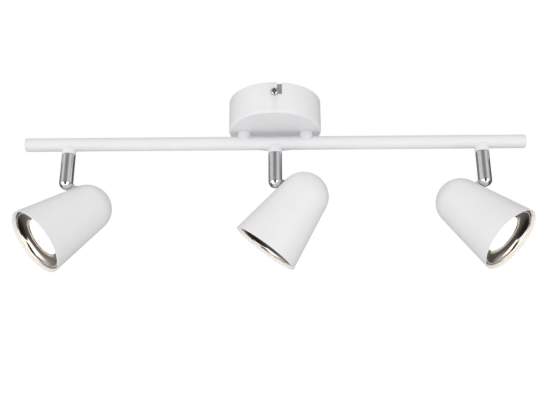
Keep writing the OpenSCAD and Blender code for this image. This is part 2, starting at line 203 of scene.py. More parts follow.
# ---------------------------------------------------------------- materials
def grey(value):
    return (value, value, value)


class Finish(Tree):
    """A node material around one Principled shader."""

    def __init__(self, name, **shader):
        self.material = bpy.data.materials.new(name)
        self.material.use_nodes = True
        super().__init__(self.material.node_tree)
        self.tree.nodes.clear()
        self.bsdf = self.add("ShaderNodeBsdfPrincipled").node
        output = self.tree.nodes.new("ShaderNodeOutputMaterial")
        self.tree.links.new(self.bsdf.outputs[0], output.inputs["Surface"])
        self.spot = self.add("ShaderNodeTexCoord", output="Object")
        for key, value in shader.items():
            self.set(key.replace("_", " "), value)

    def set(self, key, value):
        self.feed(self.bsdf.inputs[key], value)

    def noise(self, scale, detail, where=None):
        inputs = {"Vector": where or self.spot, "Scale": scale, "Detail": detail}
        return self.add("ShaderNodeTexNoise", inputs)

    def spread(self, value, low, high):
        """Maps the middle of a noise's range onto low..high."""
        return self.add("ShaderNodeMapRange", {"Value": value, "From Min": 0.3, "From Max": 0.7,
                                               "To Min": low, "To Max": high})

    def stretched(self, scale):
        """Object coordinates times scale along each axis."""
        return self.add("ShaderNodeMapping", {"Vector": self.spot, "Scale": scale})

    def tint(self, pattern, dark, light):
        """Base colour that goes from dark to light over the middle of a noise's range."""
        stops = [(0.0, dark), (1.0, light)]
        self.set("Base Color", self.ramp(self.spread(pattern, 0.0, 1.0), stops))

    def roughen(self, scale, detail, low, high):
        self.set("Roughness", self.spread(self.noise(scale, detail), low, high))

    def emboss(self, height, depth, strength):
        self.set("Normal", self.add("ShaderNodeBump", {"Height": height, "Distance": depth,
                                                       "Strength": strength}))


def white_powder_coat():
    """Satin white paint with a fine orange-peel skin."""
    coat = Finish("white_powder_coat", IOR=1.5)
    coat.tint(coat.noise(45, 3), (0.840, 0.837, 0.850), (0.862, 0.859, 0.872))
    coat.roughen(260, 3, 0.36, 0.46)
    peel = coat.noise(1500, 2)
    fine = coat.noise(5200, 1)
    coat.emboss(coat.math("ADD", peel, coat.math("MULTIPLY", fine, 0.3)), 0.05 * MM, 0.35)
    return coat.material


def bright_chrome():
    """Plated chrome: mirror-like, with faint polishing waves and smudges."""
    chrome = Finish("bright_chrome", Metallic=1.0)
    chrome.tint(chrome.noise(220, 2), (0.80, 0.80, 0.83), (0.86, 0.86, 0.88))
    chrome.roughen(160, 4, 0.05, 0.13)
    chrome.emboss(chrome.noise(700, 2, chrome.stretched((1, 1, 0.25))), 0.01 * MM, 0.25)
    return chrome.material


def polished_nickel():
    """Warmer and a little rougher than the chrome, with fine brush lines."""
    nickel = Finish("polished_nickel", Metallic=1.0)
    nickel.tint(nickel.noise(400, 2), (0.60, 0.58, 0.56), (0.70, 0.68, 0.66))
    nickel.roughen(500, 3, 0.08, 0.16)
    nickel.emboss(nickel.noise(900, 2, nickel.stretched((1, 1, 9))), 0.01 * MM, 0.4)
    return nickel.material


def zinc_plate():
    """Bluish zinc with a soft crystal pattern."""
    zinc = Finish("zinc_plate", Metallic=0.6)
    flakes = zinc.add("ShaderNodeTexVoronoi", {"Vector": zinc.spot, "Scale": 420.0},
                      output="Color", feature="F1")
    flake_tone = zinc.add("ShaderNodeSeparateColor", {0: flakes})
    zinc.set("Base Color", zinc.ramp(flake_tone, [(0.0, (0.60, 0.62, 0.65)),
                                                  (1.0, (0.70, 0.72, 0.75))]))
    zinc.roughen(350, 3, 0.28, 0.42)
    zinc.emboss(zinc.noise(2600, 2), 0.02 * MM, 0.3)
    return zinc.material


def metallised_dish():
    """The bright dish, spun with fine rings that follow its UV map."""
    dish = Finish("metallised_dish", Metallic=1.0)
    uv = dish.add("ShaderNodeUVMap", uv_map="UVMap")
    ringed = dish.add("ShaderNodeMapping", {"Vector": uv, "Scale": (3, 2600, 1)})
    dish.tint(dish.noise(120, 2), (0.62, 0.57, 0.52), (0.70, 0.65, 0.60))
    dish.roughen(180, 3, 0.07, 0.13)
    dish.emboss(dish.noise(1.0, 2, ringed), 0.01 * MM, 0.3)
    return dish.material


def lit_opal():
    """Opal disc lit from behind, dimmer and warmer at its edge."""
    opal = Finish("lit_opal", Roughness=0.4, IOR=1.49)
    uv = opal.add("ShaderNodeUVMap", uv_map="UVMap")
    from_centre = opal.add("ShaderNodeSeparateXYZ", {0: uv}, output="Y")
    share = opal.math("DIVIDE", from_centre, DISC_R)
    mottle = opal.math("MULTIPLY", opal.math("SUBTRACT", opal.noise(500, 2), 0.5), 0.03)
    place = opal.math("ADD", share, mottle)
    glow = opal.ramp(place, [(0.0, (1.0, 0.89, 0.68)), (0.72, (1.0, 0.88, 0.64)),
                             (0.9, (1.0, 0.80, 0.50)), (1.0, (0.85, 0.60, 0.32))])
    level = opal.ramp(place, [(0.0, grey(1.0)), (0.75, grey(0.9)), (0.93, grey(0.42)),
                              (1.0, grey(0.16))])
    opal.set("Base Color", (0.90, 0.88, 0.83, 1.0))
    opal.set("Emission Color", glow)
    opal.set("Emission Strength", opal.math("MULTIPLY", level, LAMP_GLOW))
    opal.emboss(opal.noise(1800, 2), 0.02 * MM, 0.3)
    return opal.material


def moulded(name, dark, light, low_rough, high_rough, grain=1400):
    """Plastic, rubber or insulation: a cloudy colour and a moulded grain."""
    part = Finish(name)
    part.tint(part.noise(160, 3), dark, light)
    part.roughen(420, 3, low_rough, high_rough)
    part.emboss(part.noise(grain, 2), 0.03 * MM, 0.35)
    return part.material


def turned_brass():
    """Screws of the terminals: brass with tool marks."""
    brass = Finish("turned_brass", Metallic=1.0)
    brass.tint(brass.noise(300, 3), (0.62, 0.44, 0.17), (0.76, 0.58, 0.27))
    brass.roughen(700, 2, 0.2, 0.34)
    brass.emboss(brass.noise(2200, 1), 0.01 * MM, 0.4)
    return brass.material


def extruded_aluminium():
    """Heat sink metal with faint drawing lines along +Z."""
    metal = Finish("sink_aluminium", Metallic=1.0)
    lines = metal.noise(1500, 3, metal.stretched((1, 1, 0.06)))
    metal.tint(lines, grey(0.50), grey(0.60))
    metal.roughen(300, 3, 0.30, 0.42)
    metal.emboss(lines, 0.01 * MM, 0.4)
    return metal.material


FINISHES = {
    "white_paint": white_powder_coat(),
    "chrome_plate": bright_chrome(),
    "nickel_plate": polished_nickel(),
    "zinc_steel": zinc_plate(),
    "reflector_metal": metallised_dish(),
    "lit_diffuser": lit_opal(),
    "brass_screw": turned_brass(),
    "sink_aluminium": extruded_aluminium(),
    "board_aluminium": moulded("board_mask", grey(0.74), grey(0.80), 0.35, 0.5),
    "lead_sheath": moulded("lead_sheath", (0.70, 0.70, 0.67), (0.78, 0.78, 0.75), 0.45, 0.6),
    "washer_nylon": moulded("washer_nylon", (0.72, 0.71, 0.67), (0.80, 0.79, 0.75), 0.4, 0.5),
    "terminal_plastic": moulded("terminal_plastic", (0.66, 0.64, 0.56), (0.74, 0.72, 0.65),
                                0.4, 0.55),
    "driver_plastic": moulded("driver_plastic", grey(0.74), grey(0.80), 0.42, 0.56, grain=2400),
    "black_rubber": moulded("black_rubber", grey(0.018), grey(0.032), 0.6, 0.75),
}
FINISHES["nickel_screw"] = FINISHES["nickel_plate"]


# ---------------------------------------------------------------- meshes
def arc(centre, radius, start, end, steps):
    """Points on an arc in a profile's plane, angles in degrees."""
    points = []
    for i in range(steps + 1):
        a = math.radians(start + (end - start) * i / steps)
        points.append((centre[0] + radius * math.cos(a), centre[1] + radius * math.sin(a)))
    return points


def linked(name, data):
    """A new object in the scene, at the origin."""
    item = bpy.data.objects.new(name, data)
    bpy.context.scene.collection.objects.link(item)
    return item


def placed(mesh, place):
    mesh.transform(place)
    return mesh


def as_object(name, mesh, place=Matrix()):
    """The mesh as an object, moved to its place and smooth but for its sharp edges."""
    mesh.transform(place)
    mesh.shade_smooth()
    mesh.set_sharp_from_angle(angle=math.radians(32))
    return linked(name, mesh)


def lathe(profile, segments=96):
    """Turns a closed outline of (radius, height) about +Z. The outline runs with the solid on
    its left, and the UV map holds the turn and the length along the outline in metres."""
    mesh = bpy.data.meshes.new("lathe")
    bm = bmesh.new()
    uv = bm.loops.layers.uv.new("UVMap")
    rings, lengths, run = [], [], 0.0
    for k, (radius, height) in enumerate(profile):
        if k:
            run += math.dist(profile[k], profile[k - 1])
        lengths.append(run)
        if radius < ON_AXIS:
            rings.append([bm.verts.new((0, 0, height))] * segments)
        else:
            turns = [2 * math.pi * i / segments for i in range(segments)]
            rings.append([bm.verts.new((radius * math.cos(a), radius * math.sin(a), height))
                          for a in turns])
    closing = run + math.dist(profile[-1], profile[0])
    for k in range(len(profile)):
        nxt = (k + 1) % len(profile)
        far = lengths[nxt] if nxt else closing
        if profile[k][0] < ON_AXIS and profile[nxt][0] < ON_AXIS:
            continue
        for i in range(segments):
            j = (i + 1) % segments
            corners = [(rings[k][i], i, lengths[k]), (rings[k][j], i + 1, lengths[k]),
                       (rings[nxt][j], i + 1, far), (rings[nxt][i], i, far)]
            unique = []
            for corner in corners:
                if corner[0] not in [u[0] for u in unique]:
                    unique.append(corner)
            face = bm.faces.new([u[0] for u in unique])
            for loop, (_, turn, length) in zip(face.loops, unique):
                loop[uv].uv = (turn / segments, length)
    bm.to_mesh(mesh)
    bm.free()
    return mesh


def prism(outline, low, high):
    """Extrudes an outline in the XY plane, counterclockwise from above, between two heights."""
    mesh = bpy.data.meshes.new("prism")
    bm = bmesh.new()
    bottom = [bm.verts.new((x, y, low)) for x, y in outline]
    top = [bm.verts.new((x, y, high)) for x, y in outline]
    bm.faces.new(bottom[::-1])
    bm.faces.new(top)
    for i in range(len(outline)):
        j = (i + 1) % len(outline)
        bm.faces.new([bottom[i], bottom[j], top[j], top[i]])
    bm.to_mesh(mesh)
    bm.free()
    return mesh


def joined(*meshes):
    """One mesh out of several."""
    bm = bmesh.new()
    for mesh in meshes:
        bm.from_mesh(mesh)
    whole = bpy.data.meshes.new("joined")
    bm.to_mesh(whole)
    bm.free()
    return whole


def baked(host):
    """The mesh that the host's modifiers make. The host is removed."""
    graph = bpy.context.evaluated_depsgraph_get()
    result = bpy.data.meshes.new_from_object(host.evaluated_get(graph))
    bpy.data.objects.remove(host)
    return result


def modified(mesh, kind, **settings):
    """Runs one modifier over a mesh and returns the plain result."""
    host = linked("host", mesh)
    modifier = host.modifiers.new(kind, kind)
    for key, value in settings.items():
        setattr(modifier, key, value)
    return baked(host)


def cut(mesh, *tools):
    """The mesh with every tool's volume taken out of it."""
    for tool in tools:
        cutter = linked("cutter", tool)
        mesh = modified(mesh, "BOOLEAN", object=cutter, operation="DIFFERENCE", solver="EXACT")
        bpy.data.objects.remove(cutter)
    return mesh


def eased(mesh, width, segments):
    """The mesh with its sharp edges rounded by width."""
    return modified(mesh, "BEVEL", width=width, segments=segments, limit_method="ANGLE",
                    angle_limit=math.radians(40))


def fitted(piece, body, slot, *nodes):
    """Gives a finished piece its body, its finish and the CAD nodes it stands for."""
    piece.data.materials.clear()
    piece.data.materials.append(FINISHES[slot])
    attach(piece, body)
    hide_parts(*nodes)
    return piece


# ---------------------------------------------------------------- geometry node trees
def geometry_tree(name, inputs):
    """A new geometry node tree with named inputs, given as (name, socket type) pairs."""
    group = bpy.data.node_groups.new(name, "GeometryNodeTree")
    group.interface.new_socket("Geometry", in_out="INPUT", socket_type="NodeSocketGeometry")
    for label, kind in inputs:
        group.interface.new_socket(label, in_out="INPUT", socket_type=kind)
    group.interface.new_socket("Geometry", in_out="OUTPUT", socket_type="NodeSocketGeometry")
    given = group.nodes.new("NodeGroupInput").outputs
    return Tree(group), given


def end_tree(tree, geometry, material):
    """Realizes instances, sets the material and feeds the group's output."""
    real = tree.add("GeometryNodeRealizeInstances", {"Geometry": geometry})
    done = tree.add("GeometryNodeSetMaterial", {"Geometry": real, "Material": material})
    output = tree.tree.nodes.new("NodeGroupOutput")
    tree.tree.links.new(done, output.inputs[0])
    return tree.tree


def grown(group, base, **inputs):
    """Runs a geometry node tree over the base mesh and returns the plain result."""
    host = linked("host", base)
    modifier = host.modifiers.new("grow", "NODES")
    modifier.node_group = group
    sockets = {item.name: item.identifier for item in group.interface.items_tree
               if item.in_out == "INPUT"}
    for label, value in inputs.items():
        modifier[sockets[label.replace("_", " ")]] = value
    return baked(host)


def domed_cone_tree():
    """A cone that runs from its rim into an elliptical dome without a step, open at the rim."""
    tree, given = geometry_tree("domed_cone", [
        ("Rim radius", "NodeSocketFloat"), ("Dome station", "NodeSocketFloat"),
        ("Dome length", "NodeSocketFloat"), ("Dome radius", "NodeSocketFloat"),
        ("Touch angle", "NodeSocketFloat"), ("Cone share", "NodeSocketFloat"),
        ("Rings", "NodeSocketInt"), ("Segments", "NodeSocketInt"),
        ("Material", "NodeSocketMaterial")])
    grid = tree.add("GeometryNodeMeshGrid", {
        "Size X": 1.0, "Size Y": 1.0, "Vertices X": given["Rings"],
        "Vertices Y": given["Segments"]})
    place = tree.add("GeometryNodeInputPosition")
    split = tree.add("ShaderNodeSeparateXYZ", {0: place}).node
    along = tree.math("ADD", split.outputs["X"], 0.5)
    turn = tree.math("MULTIPLY", tree.math("ADD", split.outputs["Y"], 0.5), 2 * math.pi)

    share = given["Cone share"]
    on_cone = tree.math("DIVIDE", along, share)
    past = tree.math("DIVIDE", tree.math("SUBTRACT", along, share),
                     tree.math("SUBTRACT", 1.0, share))
    angle = tree.math("MULTIPLY", given["Touch angle"], tree.math("SUBTRACT", 1.0, past))

    def ellipse(at):
        radius = tree.math("MULTIPLY", given["Dome radius"], tree.math("SINE", at))
        station = tree.math("ADD", given["Dome station"], tree.math(
            "MULTIPLY", given["Dome length"], tree.math("COSINE", at)))
        return radius, station

    touch_radius, touch_station = ellipse(given["Touch angle"])
    narrowing = tree.math("SUBTRACT", touch_radius, given["Rim radius"])
    cone_radius = tree.math("ADD", given["Rim radius"], tree.math("MULTIPLY", on_cone, narrowing))
    cone_station = tree.math("MULTIPLY", on_cone, touch_station)
    dome_radius, dome_station = ellipse(angle)
    in_dome = tree.math("GREATER_THAN", along, share)

    def chosen(cone, dome):
        return tree.add("GeometryNodeSwitch", {"Switch": in_dome, "False": cone, "True": dome},
                        input_type="FLOAT")

    radius = chosen(cone_radius, dome_radius)
    spun = tree.add("ShaderNodeCombineXYZ", {
        "X": tree.math("MULTIPLY", radius, tree.math("COSINE", turn)),
        "Y": tree.math("MULTIPLY", radius, tree.math("SINE", turn)),
        "Z": chosen(cone_station, dome_station)})
    mapped = tree.add("GeometryNodeStoreNamedAttribute", {
        "Geometry": grid, "Name": "UVMap", "Value": grid.node.outputs["UV Map"]},
        data_type="FLOAT2", domain="CORNER")
    shaped = tree.add("GeometryNodeSetPosition", {"Geometry": mapped, "Position": spun})
    sealed = tree.add("GeometryNodeMergeByDistance", {"Geometry": shaped, "Distance": 0.01 * MM})
    return end_tree(tree, sealed, given["Material"])


def fastener_tree():
    """Sets one piece on every point of the base mesh, its head turned along the point's "out"."""
    tree, given = geometry_tree("fasteners", [("Piece", "NodeSocketObject"),
                                              ("Material", "NodeSocketMaterial")])
    piece = tree.add("GeometryNodeObjectInfo", {"Object": given["Piece"]}, output="Geometry")
    points = tree.add("GeometryNodeMeshToPoints", {"Mesh": given["Geometry"]})
    out = tree.add("GeometryNodeInputNamedAttribute", {"Name": "out"}, data_type="FLOAT_VECTOR")
    turn = tree.add("FunctionNodeAlignRotationToVector", {"Vector": out}, axis="Z")
    set_in = tree.add("GeometryNodeInstanceOnPoints", {"Points": points, "Instance": piece,
                                                       "Rotation": turn})
    return end_tree(tree, set_in, given["Material"])


DOMED_CONE = domed_cone_tree()
FASTENERS = fastener_tree()


# ---------------------------------------------------------------- canopy, posts and bar
def bayonet_outline():
    """The L-shaped slot in the canopy's wall: x across, y up the wall."""
    low, high = SCREW_Z - SLOT_W / 2, SCREW_Z + SLOT_W / 2
    left, right = SLOT_X - SLOT_W / 2, SLOT_X + SLOT_W / 2
    above_rim = 1 * MM
    end = arc((0, SCREW_Z), SLOT_W / 2, 90, 270, 12)
    return [*end, (right, low), (right, above_rim), (left, above_rim), (left, high)]


def canopy():
    """Round cup, open at the ceiling, with a bayonet slot in front and one behind."""
    inner = CANOPY_R - CANOPY_WALL
    corner = (CANOPY_R - CANOPY_ROUND, CANOPY_Z + CANOPY_ROUND)
    rim_mid = (inner + CANOPY_R) / 2
    wall_mid = -12 * MM
    outline = [(0, CANOPY_Z), (CANOPY_R * 0.5, CANOPY_Z),
               *arc(corner, CANOPY_ROUND, -90, 0, 10),
               (CANOPY_R, wall_mid),
               *arc((CANOPY_R - RIM_EASE, -RIM_EASE), RIM_EASE, 0, 90, 3),
               (rim_mid, 0), *arc((inner + RIM_EASE, -RIM_EASE), RIM_EASE, 90, 180, 3),
               (inner, wall_mid),
               *arc(corner, CANOPY_ROUND - CANOPY_WALL, 0, -90, 6),
               (0, CANOPY_Z + CANOPY_WALL)]
    shell = lathe(outline, 192)
    front = Matrix.Translation((0, -CANOPY_R, 0)) @ turned(90, "X")
    back = turned(180, "Z") @ front
    through = 4 * MM
    slots = [placed(prism(bayonet_outline(), -through, through), face) for face in (front, back)]
    piece = as_object("canopy_shell", cut(shell, *slots))
    return fitted(piece, "root", "white_paint", "canopy_cover")


def post(name, x):
    """A post that stands on the bar, with the hollow stud that goes up into the canopy."""
    foot, stud_top = post_lo[2], post_hi[2]
    ease = 0.3 * MM
    outline = [(STUD_BORE_R, foot), (POST_R, BAR_Z + BAR_R * 0.3),
               *arc((POST_R - ease, CANOPY_Z - ease), ease, 0, 90, 3), (STUD_R, CANOPY_Z),
               (STUD_R, stud_top - ease), (STUD_R - ease, stud_top), (STUD_BORE_R, stud_top)]
    piece = as_object(f"{name}_sleeve", lathe(outline), Matrix.Translation((x, 0, 0)))
    return fitted(piece, "root", "white_paint", name)


def bar():
    end, inner, ease = bar_hi[0], BAR_R - BAR_WALL, 0.12 * MM
    stations = [end * k / 8 for k in range(-7, 8)]
    outline = [(inner, -end), (BAR_R - ease, -end), (BAR_R, -end + ease),
               *[(BAR_R, s) for s in stations],
               (BAR_R, end - ease), (BAR_R - ease, end), (inner, end),
               *[(inner, s) for s in reversed(stations)]]
    along_x = Matrix.Translation((0, 0, BAR_Z)) @ turned(90, "Y")
    piece = as_object("bar_tube_body", lathe(outline), along_x)
    return fitted(piece, "root", "white_paint", "bar_tube")


def end_cap(side, way):
    """A push-in cap: rounded flange outside, hollow plug inside the tube."""
    face, plug = 0.7 * MM, 6.2 * MM
    inner = BAR_R - BAR_WALL
    hollow = inner - 1 * MM
    outline = [(0, CAP_T), (hollow, CAP_T), (hollow, plug), (inner, plug),
               (inner, CAP_T), (BAR_R, CAP_T), (BAR_R, face + 0.1 * MM),
               *arc((BAR_R - face, face), face, 0, -90, 6), (0, 0)]
    place = Matrix.Translation((way * (bar_hi[0] + CAP_T), 0, BAR_Z)) @ turned(-90 * way, "Y")
    piece = as_object(f"end_cap_{side}_turned", lathe(outline[::-1]), place)
    return fitted(piece, "root", "white_paint", f"end_cap_{side}")


def screw_blank():
    """Pan head screw with a cross recess: its head up along +Z, its underside on z = 0."""
    length, crown = 8 * MM, 0.35
    head = [(SCREW_HEAD_R * math.cos(math.radians(a)),
             SCREW_HEAD_H * (crown + (1 - crown) * math.sin(math.radians(a))))
            for a in range(6, 91, 7)]
    pitch, turns, thread_depth = 0.7 * MM, 10, 0.35 * MM
    tip, ease = 0.4 * MM, 0.2 * MM
    thread = []
    for k in range(turns):
        z = -length + tip + k * pitch
        thread += [(SCREW_SHANK_R - thread_depth, z), (SCREW_SHANK_R, z + pitch / 2)]
    outline = [(0, -length), (SCREW_SHANK_R - 0.6 * MM, -length), *thread,
               (SCREW_SHANK_R, 0), (SCREW_HEAD_R - ease, 0), (SCREW_HEAD_R, ease), *head]
    blank = lathe(outline, 48)
    wide, arm, recess = 0.55 * MM, 1.9 * MM, 1.3 * MM
    cross = [(wide, wide), (wide, arm), (-wide, arm), (-wide, wide), (-arm, wide), (-arm, -wide),
             (-wide, -wide), (-wide, -arm), (wide, -arm), (wide, -wide), (arm, -wide), (arm, wide)]
    return cut(blank, prism(cross, SCREW_HEAD_H - recess, SCREW_HEAD_H + recess))


def cover_screws():
    """The canopy's two side screws, one node in the CAD, so one piece here."""
    blank = as_object("screw_blank", screw_blank())
    seats = bpy.data.meshes.new("seats")
    seats.from_pydata([(0, -CANOPY_R, SCREW_Z), (0, CANOPY_R, SCREW_Z)], [], [])
    out = seats.attributes.new("out", "FLOAT_VECTOR", "POINT")
    out.data[0].vector, out.data[1].vector = (0, -1, 0), (0, 1, 0)
    mesh = grown(FASTENERS, seats, Piece=blank, Material=FINISHES["nickel_screw"])
    bpy.data.objects.remove(blank)
    return fitted(as_object("side_screws", mesh), "root", "nickel_screw", "cover_screws")


# ---------------------------------------------------------------- heads
def collar(side):
    """White cup under the bar, with a hole in its floor for the swivel nipple."""
    ease = 0.35 * MM
    outline = [(NIPPLE_HOLE_R, COLLAR_Z), (COLLAR_R - ease, COLLAR_Z),
               *arc((COLLAR_R - ease, COLLAR_Z + ease), ease, -90, 0, 4),
               *arc((COLLAR_R - ease, COLLAR_TOP - ease), ease, 0, 90, 4),
               (COLLAR_CUP_R, COLLAR_TOP), (COLLAR_CUP_R, COLLAR_Z + COLLAR_FLOOR),
               (NIPPLE_HOLE_R, COLLAR_Z + COLLAR_FLOOR)]
    x = joints[f"pan_{side}"]["pos_m"][0]
    piece = as_object(f"collar_{side}_ring", lathe(outline), Matrix.Translation((x, 0, 0)))
    return fitted(piece, "root", "white_paint", f"collar_{side}")


def stem(side):
    """Chrome stem with a ball end, slotted for the tilt plate and bored for the pin."""
    top = STEM_TOP - joints[f"pan_{side}"]["pos_m"][2]
    ease = 0.4 * MM
    thread_end, bore_end = top - 8 * MM, FORK_TOP - 1 * MM
    narrow = STEM_BORE_R * 0.8
    outline = [(0, -STEM_R), *arc((0, 0), STEM_R, -87, 0, 29), (STEM_R, top * 0.5),
               (STEM_R, top - ease), (STEM_R - ease, top), (STEM_BORE_R, top),
               (STEM_BORE_R, thread_end), (narrow, thread_end), (narrow, bore_end),
               (0, bore_end)]
    half, through = FORK_W / 2, 10 * MM
    slot = prism([(-half, -through), (half, -through), (half, FORK_TOP), (-half, FORK_TOP)],
                 -through, through)
    # the slot's x, y and z become the stem's y, z and x
    across = Matrix(((0, 0, 1, 0), (1, 0, 0, 0), (0, 1, 0, 0), (0, 0, 0, 1)))
    pin_hole = prism(arc((0, 0), PIN_R + 0.03 * MM, 0, 345, 23), -through, through)
    body = cut(lathe(outline, 128), placed(slot, across), placed(pin_hole, turned(90, "X")))
    piece = as_object(f"stem_{side}_turned", body, pan_frame(side))
    return fitted(piece, f"swivel_{side}", "chrome_plate", f"stem_{side}")


def pivot_pin(side):
    """Pin through the stem's cheeks, its ends domed to the ball."""
    ball = STEM_R - 0.02 * MM
    open_angle = math.degrees(math.asin(PIN_R / ball))
    outline = [(0, -ball), *arc((0, 0), ball, -90 + open_angle / 4, -90 + open_angle, 3),
               *arc((0, 0), ball, 90 - open_angle, 90 - open_angle / 4, 3), (0, ball)]
    place = pan_frame(side) @ turned(90, "X")
    piece = as_object(f"pin_{side}_domed", lathe(outline, 48), place)
    return fitted(piece, f"swivel_{side}", "chrome_plate", f"pivot_pin_{side}")


def shade_radius(station):
    """Radius of the shade's outer face at a distance from the rim."""
    touch = DOME_S + DOME_LEN * math.cos(TOUCH)
    if station < touch:
        return RIM_R + (DOME_R * math.sin(TOUCH) - RIM_R) * station / touch
    return DOME_R * math.sqrt(max(0.0, 1 - ((station - DOME_S) / DOME_LEN) ** 2))


def foot_patch():
    """The plate's foot: a strip bent to the inside of the shade, in the shade's frame."""
    start, end = RIM_REACH - PLATE_FRONT, RIM_REACH - PLATE_BACK
    rows, columns = 10, 8
    mesh = bpy.data.meshes.new("foot")
    bm = bmesh.new()
    layers = []
    for depth in (SHADE_WALL + 0.02 * MM, SHADE_WALL + FOOT_T):
        layer = []
        for r in range(rows + 1):
            station = start + (end - start) * r / rows
            radius = shade_radius(station) - depth
            row = []
            for c in range(columns + 1):
                y = FOOT_W * c / columns - SIDE_OFFSET
                row.append(bm.verts.new((math.sqrt(radius ** 2 - y ** 2), y, station)))
            layer.append(row)
        layers.append(layer)
    outer, inner = layers
    for r in range(rows):
        for c in range(columns):
            bm.faces.new([outer[r][c], outer[r][c + 1], outer[r + 1][c + 1], outer[r + 1][c]])
            bm.faces.new([inner[r][c], inner[r + 1][c], inner[r + 1][c + 1], inner[r][c + 1]])
    for c in range(columns):
        bm.faces.new([outer[0][c], inner[0][c], inner[0][c + 1], outer[0][c + 1]])
        bm.faces.new([outer[rows][c], outer[rows][c + 1], inner[rows][c + 1], inner[rows][c]])
    for r in range(rows):
        bm.faces.new([outer[r][0], outer[r + 1][0], inner[r + 1][0], inner[r][0]])
        bm.faces.new([outer[r][columns], inner[r][columns], inner[r + 1][columns],
                      outer[r + 1][columns]])
    bmesh.ops.recalc_face_normals(bm, faces=bm.faces)
    bm.to_mesh(mesh)
    bm.free()
    return mesh


def tilt_plate(side):
    """Flat plate: an eye on the pin and a neck that goes down into the shade to its foot."""
    # the neck in mm: down from the eye's back, forwards inside the shade, and up again
    neck = [(-4.7, -1.6), (-5.1, -6.2), (-5.6, -6.7), (-7.1, -7.2), (-7.8, -7.6),
            (-8.0, -8.1), (-8.0, -10.2), (3.4, -8.15), (3.4, -6.0)]
    eye = arc((0, 0), EYE_R, -24, 199, 36)
    outline = [*eye, *[(x * MM, z * MM) for x, z in neck]]
    plate = prism(outline, -PLATE_T / 2, PLATE_T / 2)
    hole = prism(arc((0, 0), PIN_R + 0.05 * MM, 0, 345, 23), -PLATE_T, PLATE_T)
    body = placed(eased(cut(plate, hole), 0.22 * MM, 3), tilt_frame(side) @ turned(90, "X"))
    foot = placed(foot_patch(), shade_frame(side))
    piece = as_object(f"tilt_plate_{side}_bent", joined(body, foot))
    return fitted(piece, f"head_{side}", "nickel_plate", f"tilt_plate_{side}")


def shade(side):
    """The white shade: a domed cone, given its wall, an eased rim and the plate's slot."""
    empty = bpy.data.meshes.new("empty")
    skin = grown(DOMED_CONE, empty, Rim_radius=RIM_R, Dome_station=DOME_S, Dome_length=DOME_LEN,
                 Dome_radius=DOME_R, Touch_angle=TOUCH, Cone_share=0.5, Rings=65, Segments=193,
                 Material=FINISHES["white_paint"])
    bm = bmesh.new()
    bm.from_mesh(skin)
    bmesh.ops.recalc_face_normals(bm, faces=bm.faces)
    bm.to_mesh(skin)
    bm.free()
    wall = modified(skin, "SOLIDIFY", thickness=SHADE_WALL, offset=-1.0, use_even_offset=True)
    wall = eased(wall, 0.5 * MM, 4)
    play = 0.15 * MM
    low, high = -SIDE_OFFSET - PLATE_T / 2 - play, -SIDE_OFFSET + PLATE_T / 2 + play
    within, without = 10 * MM, 30 * MM
    slot = prism([(within, low), (without, low), (without, high), (within, high)],
                 RIM_REACH - PLATE_FRONT - play, RIM_REACH - PLATE_BACK + play)
    place = shade_frame(side) @ Matrix.Translation((0, 0, RIM_SET_BACK))
    piece = as_object(f"shade_{side}_spun", cut(wall, slot), place)
    return fitted(piece, f"head_{side}", "white_paint", f"shade_{side}")


def reflector(side):
    """Bright elliptical dish from the mouth to the lit disc, with a rim that meets the wall."""
    inner, depth = DISC_R + 0.1 * MM, DISC_DEPTH - MOUTH_DEPTH
    grip = shade_radius(MOUTH_DEPTH) - SHADE_WALL - 0.12 * MM
    grip_depth, ease = 2 * MM, 0.2 * MM
    turn = [math.radians(a) for a in range(0, 91, 4)] + [math.pi / 2]
    dish = [(inner + (MOUTH_R - inner) * math.cos(a), MOUTH_DEPTH + depth * math.sin(a))
            for a in turn]
    back = [(inner + (MOUTH_R + REFLECTOR_T - inner) * math.cos(a),
             MOUTH_DEPTH + (depth + REFLECTOR_T) * math.sin(a))
            for a in reversed(turn) if math.cos(a) < BACK_SHARE]
    outline = [*dish, *back, (grip, MOUTH_DEPTH + grip_depth), (grip, MOUTH_DEPTH + ease),
               (grip - ease, MOUTH_DEPTH)]
    piece = as_object(f"reflector_{side}_dish", lathe(outline[::-1], 192), shade_frame(side))
    piece.visible_diffuse = False       # keeps the dish's sharp glints off the white lip
    return fitted(piece, f"head_{side}", "reflector_metal", f"reflector_{side}")


def diffuser(side):
    """Opal disc, very slightly crowned, with a flange behind the reflector's edge."""
    crown, back = 0.4 * MM, DISC_DEPTH + 1.6 * MM
    flange, flange_r = DISC_DEPTH + REFLECTOR_T + 0.05 * MM, DISC_R + 1.2 * MM
    steps = 16
    front = [(DISC_R * k / steps, DISC_DEPTH - crown * (1 - (k / steps) ** 2))
             for k in range(steps + 1)]
    outline = [*front, (DISC_R, flange), (flange_r, flange), (flange_r, back - 0.6 * MM),
               (0, back)]
    mesh = lathe(outline)
    # turned inside out first, so that its UV map measures from the disc's centre
    for polygon in mesh.polygons:
        polygon.flip()
    piece = as_object(f"diffuser_{side}_disc", mesh, shade_frame(side))
    return fitted(piece, f"head_{side}", "lit_diffuser", f"diffuser_{side}")


# ---------------------------------------------------------------- what stays as it is
def finish_carried_over():
    """Gives each CAD node that still shows the finish of its slot."""
    slots = {part["node"]: part["material_slot"] for part in frame["record"]["subparts"]}
    for name, node in frame["nodes"].items():
        node.data.materials.clear()
        node.data.materials.append(FINISHES[slots[name]])


